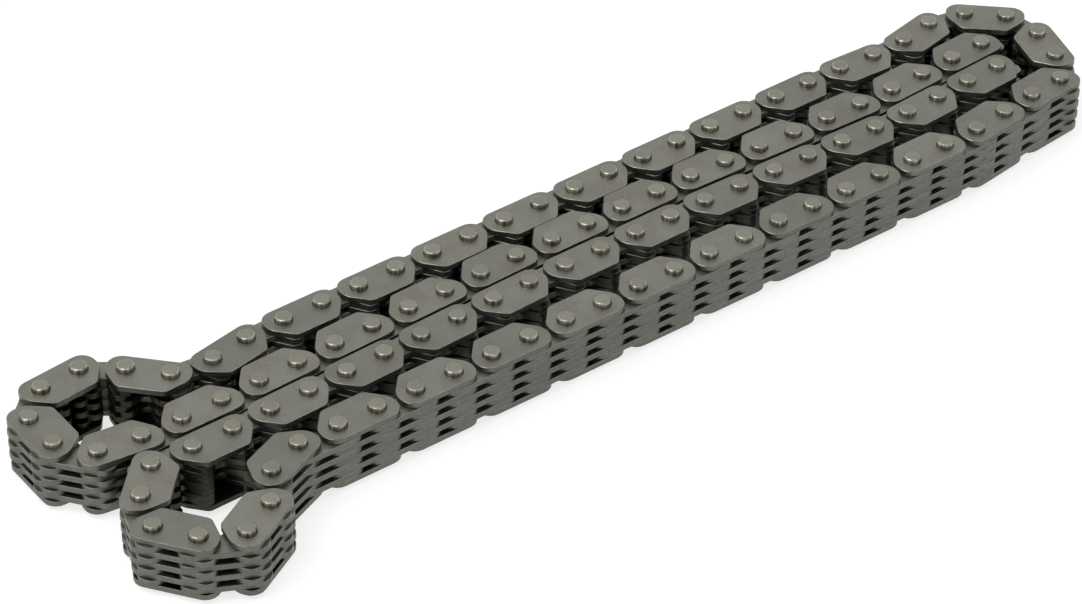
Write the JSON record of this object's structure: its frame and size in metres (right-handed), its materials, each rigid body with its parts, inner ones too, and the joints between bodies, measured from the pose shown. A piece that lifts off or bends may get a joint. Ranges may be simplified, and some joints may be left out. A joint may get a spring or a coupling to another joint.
{
  "type": "silent timing chain",
  "caption": "Endless inverted-tooth timing chain of laced steel plates on riveted pins, folded into a flat pack of four strands.",
  "frame": {"origin": "Middle of the pack seen from above, on the plane of the lower pin ends.", "axes": "+X along the strands, from the two small loops to the end with the single fold; +Y across the strands, towards strand 1; +Z along the pins."},
  "size_m": [0.2236, 0.0606, 0.0126],
  "materials": {
    "plate_steel": "satin",
    "pin_steel": "satin"
  },
  "bodies": {
    "folded_strands": {"strand_3_run": "plate_steel", "strand_2_run": "plate_steel", "fold_link_plate_1": "plate_steel", "fold_link_plate_2": "plate_steel", "fold_link_plate_3": "plate_steel", "fold_link_plate_4": "plate_steel"},
    "loop_a_inner_link_1": {"loop_a_inner_link_1_plate_1": "plate_steel", "loop_a_inner_link_1_plate_2": "plate_steel", "loop_a_inner_link_1_plate_3": "plate_steel", "loop_a_inner_link_1_plate_4": "plate_steel"},
    "loop_a_outer_link_1": {"loop_a_outer_link_1": "plate_steel"},
    "loop_a_inner_link_2": {"loop_a_inner_link_2_plate_1": "plate_steel", "loop_a_inner_link_2_plate_2": "plate_steel", "loop_a_inner_link_2_plate_3": "plate_steel", "loop_a_inner_link_2_plate_4": "plate_steel"},
    "loop_a_outer_link_2": {"loop_a_outer_link_2": "plate_steel"},
    "loop_a_inner_link_3": {"loop_a_inner_link_3_plate_1": "plate_steel", "loop_a_inner_link_3_plate_2": "plate_steel", "loop_a_inner_link_3_plate_3": "plate_steel", "loop_a_inner_link_3_plate_4": "plate_steel"},
    "loop_a_outer_link_3": {"loop_a_outer_link_3": "plate_steel"},
    "strand_1_left_run": {"strand_1_left_run": "plate_steel"},
    "strand_1_right_run": {"strand_1_right_run": "plate_steel"},
    "end_loop_inner_link_1": {"end_loop_inner_link_1_plate_1": "plate_steel", "end_loop_inner_link_1_plate_2": "plate_steel", "end_loop_inner_link_1_plate_3": "plate_steel", "end_loop_inner_link_1_plate_4": "plate_steel"},
    "end_loop_outer_link_1": {"end_loop_outer_link_1_guide_high": "plate_steel", "end_loop_outer_link_1_guide_low": "plate_steel", "end_loop_outer_link_1_pin_1": "pin_steel", "end_loop_outer_link_1_pin_2": "pin_steel", "end_loop_outer_link_1_plate_1": "plate_steel", "end_loop_outer_link_1_plate_2": "plate_steel", "end_loop_outer_link_1_plate_3": "plate_steel"},
    "end_loop_inner_link_2": {"end_loop_inner_link_2_plate_1": "plate_steel", "end_loop_inner_link_2_plate_2": "plate_steel", "end_loop_inner_link_2_plate_3": "plate_steel", "end_loop_inner_link_2_plate_4": "plate_steel"},
    "end_loop_open_link": {"end_loop_open_link_guide_high": "plate_steel", "end_loop_open_link_guide_low": "plate_steel", "end_loop_open_link_pin_1": "pin_steel", "end_loop_open_link_plate_1": "plate_steel", "end_loop_open_link_plate_2": "plate_steel", "end_loop_open_link_plate_3": "plate_steel"},
    "loop_b_inner_link_1": {"loop_b_inner_link_1_plate_1": "plate_steel", "loop_b_inner_link_1_plate_2": "plate_steel", "loop_b_inner_link_1_plate_3": "plate_steel", "loop_b_inner_link_1_plate_4": "plate_steel"},
    "loop_b_outer_link_1": {"loop_b_outer_link_1": "plate_steel"},
    "loop_b_inner_link_2": {"loop_b_inner_link_2_plate_1": "plate_steel", "loop_b_inner_link_2_plate_2": "plate_steel", "loop_b_inner_link_2_plate_3": "plate_steel", "loop_b_inner_link_2_plate_4": "plate_steel"},
    "loop_b_outer_link_2": {"loop_b_outer_link_2": "plate_steel"},
    "strand_4_left_run": {"strand_4_left_run": "plate_steel"},
    "strand_4_right_run": {"strand_4_right_run": "plate_steel"},
    "end_loop_inner_link_3": {"end_loop_inner_link_3_plate_1": "plate_steel", "end_loop_inner_link_3_plate_2": "plate_steel", "end_loop_inner_link_3_plate_3": "plate_steel", "end_loop_inner_link_3_plate_4": "plate_steel"}
  },
  "joints": [
    {"name": "loop_a_inner_link_1_pivot", "type": "hinge", "parent": "folded_strands", "child": "loop_a_inner_link_1", "pos_m": [-0.10298, 0.00559, 0], "axis": [0, 0, 1], "range_deg": [0, 45]},
    {"name": "loop_a_outer_link_1_pivot", "type": "hinge", "parent": "loop_a_inner_link_1", "child": "loop_a_outer_link_1", "pos_m": [-0.1078, 0.01198, 0], "axis": [0, 0, 1], "range_deg": [0, 38]},
    {"name": "loop_a_inner_link_2_pivot", "type": "hinge", "parent": "loop_a_outer_link_1", "child": "loop_a_inner_link_2", "pos_m": [-0.10766, 0.01998, 0], "axis": [0, 0, 1], "range_deg": [0, 45]},
    {"name": "loop_a_outer_link_2_pivot", "type": "hinge", "parent": "loop_a_inner_link_2", "child": "loop_a_outer_link_2", "pos_m": [-0.1019, 0.02553, 0], "axis": [0, 0, 1], "range_deg": [0, 39]},
    {"name": "loop_a_inner_link_3_pivot", "type": "hinge", "parent": "loop_a_outer_link_2", "child": "loop_a_inner_link_3", "pos_m": [-0.09394, 0.02623, 0], "axis": [0, 0, 1], "range_deg": [0, 41]},
    {"name": "loop_a_outer_link_3_pivot", "type": "hinge", "parent": "loop_a_inner_link_3", "child": "loop_a_outer_link_3", "pos_m": [-0.08747, 0.02152, 0], "axis": [0, 0, 1], "range_deg": [0, 12]},
    {"name": "strand_1_left_run_pivot", "type": "hinge", "parent": "loop_a_outer_link_3", "child": "strand_1_left_run", "pos_m": [-0.08213, 0.01557, 0], "axis": [0, 0, 1], "range_deg": [0, 15]},
    {"name": "strand_1_right_run_pivot", "type": "hinge", "parent": "strand_1_left_run", "child": "strand_1_right_run", "pos_m": [-0.00231, 0.01626, 0], "axis": [0, 0, 1], "range_deg": [0, 20]},
    {"name": "end_loop_inner_link_1_pivot", "type": "hinge", "parent": "strand_1_right_run", "child": "end_loop_inner_link_1", "pos_m": [0.09353, 0.01751, 0], "axis": [0, 0, 1], "range_deg": [0, 22.9]},
    {"name": "end_loop_outer_link_1_pivot", "type": "hinge", "parent": "end_loop_inner_link_1", "child": "end_loop_outer_link_1", "pos_m": [0.10136, 0.01585, 0], "axis": [0, 0, 1], "range_deg": [0, 32]},
    {"name": "end_loop_inner_link_2_pivot", "type": "hinge", "parent": "end_loop_outer_link_1", "child": "end_loop_inner_link_2", "pos_m": [0.10711, 0.01029, 0], "axis": [0, 0, 1], "range_deg": [0, 40]},
    {"name": "end_loop_open_link_pivot", "type": "hinge", "parent": "end_loop_inner_link_2", "child": "end_loop_open_link", "pos_m": [0.10795, 0.00234, 0], "axis": [0, 0, 1], "range_deg": [0, 23.9]},
    {"name": "loop_b_inner_link_1_pivot", "type": "hinge", "parent": "folded_strands", "child": "loop_b_inner_link_1", "pos_m": [-0.10338, -0.00835, 0], "axis": [0, 0, 1], "range_deg": [-26, 0]},
    {"name": "loop_b_outer_link_1_pivot", "type": "hinge", "parent": "loop_b_inner_link_1", "child": "loop_b_outer_link_1", "pos_m": [-0.1059, -0.01594, 0], "axis": [0, 0, 1], "range_deg": [-53, 0]},
    {"name": "loop_b_inner_link_2_pivot", "type": "hinge", "parent": "loop_b_outer_link_1", "child": "loop_b_inner_link_2", "pos_m": [-0.10131, -0.02249, 0], "axis": [0, 0, 1], "range_deg": [-27, 0]},
    {"name": "loop_b_outer_link_2_pivot", "type": "hinge", "parent": "loop_b_inner_link_2", "child": "loop_b_outer_link_2", "pos_m": [-0.09424, -0.02625, 0], "axis": [0, 0, 1], "range_deg": [-56, 0]},
    {"name": "strand_4_left_run_pivot", "type": "hinge", "parent": "loop_b_outer_link_2", "child": "strand_4_left_run", "pos_m": [-0.08718, -0.02249, 0], "axis": [0, 0, 1], "range_deg": [-27, 0]},
    {"name": "strand_4_right_run_pivot", "type": "hinge", "parent": "strand_4_left_run", "child": "strand_4_right_run", "pos_m": [0.00482, -0.01378, 0], "axis": [0, 0, 1], "range_deg": [-20, 0]},
    {"name": "end_loop_inner_link_3_pivot", "type": "hinge", "parent": "strand_4_right_run", "child": "end_loop_inner_link_3", "pos_m": [0.10067, -0.01166, 0], "axis": [0, 0, 1], "range_deg": [-48, 0]}
  ]
}
